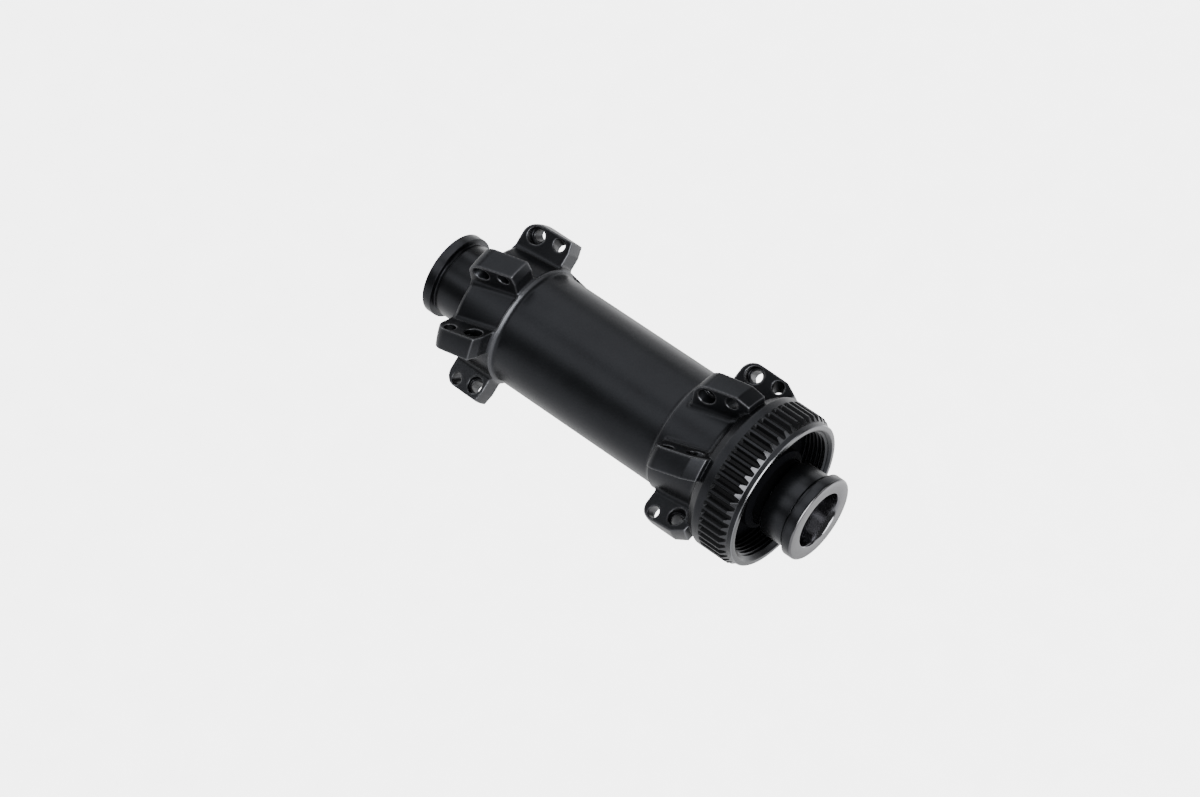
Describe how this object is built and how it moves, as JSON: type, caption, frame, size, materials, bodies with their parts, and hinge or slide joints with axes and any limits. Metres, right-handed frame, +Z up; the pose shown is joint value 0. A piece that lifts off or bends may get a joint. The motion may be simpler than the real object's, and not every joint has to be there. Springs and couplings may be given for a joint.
{
  "type": "hub assembly",
  "caption": "Front bicycle hub with straight-pull spoke lugs, a splined disc rotor seat, sealed bearings and pull-off end caps for a through axle.",
  "frame": {"origin": "the middle of the hub, on the axle line, half way between the two end-cap faces", "axes": "+Y along the axle from the brake disc side to the far side; +Z up and +X to the right complete a right-handed frame"},
  "size_m": [0.0386, 0.1, 0.0392],
  "materials": {
    "shell_black_anodised": "matte black bead-blasted anodising",
    "cap_black_anodised": "satin black anodising, turned",
    "axle_aluminium": "plain turned",
    "bearing_steel": "ground bearing steel",
    "cage_plastic": "moulded nylon",
    "black_rubber": "matte nitrile rubber"
  },
  "bodies": {
    "axle": {"axle": "axle_aluminium", "bearing_disc_side_inner_race": "bearing_steel", "o_ring_disc_side": "black_rubber", "bearing_far_side_inner_race": "bearing_steel", "o_ring_far_side": "black_rubber"},
    "hub_shell": {"hub_shell": "shell_black_anodised", "bearing_disc_side_outer_race": "bearing_steel", "bearing_disc_side_outer_seal": "black_rubber", "bearing_disc_side_inner_seal": "black_rubber", "bearing_far_side_outer_race": "bearing_steel", "bearing_far_side_outer_seal": "black_rubber", "bearing_far_side_inner_seal": "black_rubber"},
    "ball_cage_disc_side": {"bearing_disc_side_cage": "cage_plastic", "bearing_disc_side_ball_01": "bearing_steel", "bearing_disc_side_ball_02": "bearing_steel", "bearing_disc_side_ball_03": "bearing_steel", "bearing_disc_side_ball_04": "bearing_steel", "bearing_disc_side_ball_05": "bearing_steel", "bearing_disc_side_ball_06": "bearing_steel", "bearing_disc_side_ball_07": "bearing_steel", "bearing_disc_side_ball_08": "bearing_steel", "bearing_disc_side_ball_09": "bearing_steel", "bearing_disc_side_ball_10": "bearing_steel", "bearing_disc_side_ball_11": "bearing_steel", "bearing_disc_side_ball_12": "bearing_steel", "bearing_disc_side_ball_13": "bearing_steel"},
    "end_cap_disc_side": {"end_cap_disc_side": "cap_black_anodised"},
    "ball_cage_far_side": {"bearing_far_side_cage": "cage_plastic", "bearing_far_side_ball_01": "bearing_steel", "bearing_far_side_ball_02": "bearing_steel", "bearing_far_side_ball_03": "bearing_steel", "bearing_far_side_ball_04": "bearing_steel", "bearing_far_side_ball_05": "bearing_steel", "bearing_far_side_ball_06": "bearing_steel", "bearing_far_side_ball_07": "bearing_steel", "bearing_far_side_ball_08": "bearing_steel", "bearing_far_side_ball_09": "bearing_steel", "bearing_far_side_ball_10": "bearing_steel", "bearing_far_side_ball_11": "bearing_steel", "bearing_far_side_ball_12": "bearing_steel", "bearing_far_side_ball_13": "bearing_steel"},
    "end_cap_far_side": {"end_cap_far_side": "cap_black_anodised"}
  },
  "joints": [
    {"name": "hub_spin", "type": "hinge", "parent": "axle", "child": "hub_shell", "pos_m": [0, 0, 0], "axis": [0, 1, 0], "continuous": true},
    {"name": "cage_disc_side_spin", "type": "hinge", "parent": "axle", "child": "ball_cage_disc_side", "pos_m": [0, -0.0305, 0], "axis": [0, 1, 0], "continuous": true},
    {"name": "cage_far_side_spin", "type": "hinge", "parent": "axle", "child": "ball_cage_far_side", "pos_m": [0, 0.034, 0], "axis": [0, 1, 0], "continuous": true},
    {"name": "end_cap_disc_side_pull", "type": "slide", "parent": "axle", "child": "end_cap_disc_side", "axis": [0, -1, 0], "range_m": [0, 0.015]},
    {"name": "end_cap_far_side_pull", "type": "slide", "parent": "axle", "child": "end_cap_far_side", "axis": [0, 1, 0], "range_m": [0, 0.015]}
  ],
  "couplings": [
    {"joint": "cage_disc_side_spin", "follows": "hub_spin", "ratio": 0.559},
    {"joint": "cage_far_side_spin", "follows": "hub_spin", "ratio": 0.559}
  ]
}
